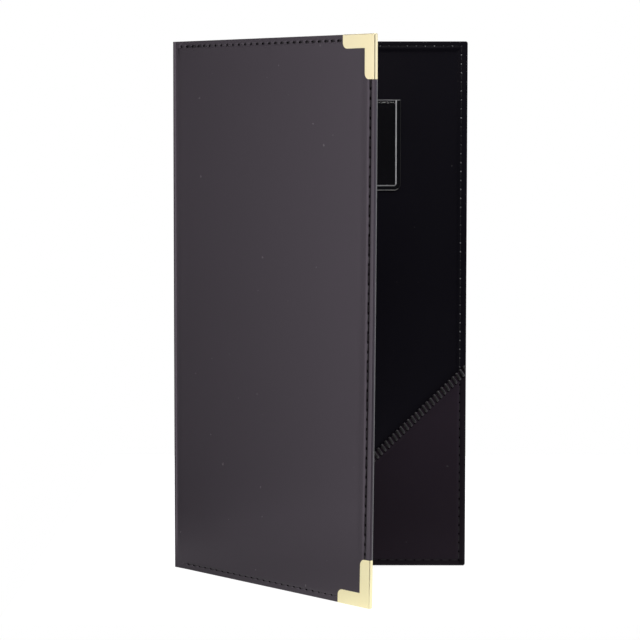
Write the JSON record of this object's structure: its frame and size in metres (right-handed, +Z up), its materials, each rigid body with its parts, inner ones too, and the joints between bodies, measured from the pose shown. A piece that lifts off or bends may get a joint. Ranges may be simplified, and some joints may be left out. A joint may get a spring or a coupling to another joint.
{
  "type": "guest check presenter",
  "caption": "Leatherette-covered folding presenter for a guest check, with a card pocket, a laced corner pocket and metal cover corners.",
  "frame": {"origin": "middle of the back cover's lower edge, on which the presenter stands", "axes": "+Z up along the spine, -Y out of the back cover's inner face towards the front cover, +X from the spine to the back cover's free edge"},
  "size_m": [0.141, 0.1073, 0.2545],
  "materials": {
    "skin": "satin",
    "lining": "satin",
    "pocket": "satin",
    "lace": "satin",
    "board": "matte",
    "vinyl": "gloss",
    "border": "satin",
    "corner_metal": "polished"
  },
  "bodies": {
    "back": {"back_skin": "skin", "back_board": "board", "back_lining": "lining", "pocket_panel": "pocket", "pocket_lacing": "lace", "card_window": "vinyl", "card_border": "border"},
    "spine": {"spine_skin": "skin", "spine_lining": "lining"},
    "front": {"front_skin": "skin", "front_board": "board", "front_lining": "lining", "corner_top": "corner_metal", "corner_bottom": "corner_metal"}
  },
  "joints": [
    {"name": "spine_hinge", "type": "hinge", "parent": "back", "child": "spine", "pos_m": [-0.0692, 0.00075, 0.127], "axis": [0, 0, 1], "range_deg": [-66.5, 23.5]},
    {"name": "cover_hinge", "type": "hinge", "parent": "spine", "child": "front", "pos_m": [-0.07159, -0.00475, 0.127], "axis": [0, 0, 1], "range_deg": [-66.5, 23.5]}
  ],
  "couplings": [
    {"joint": "cover_hinge", "follows": "spine_hinge", "ratio": 1}
  ]
}
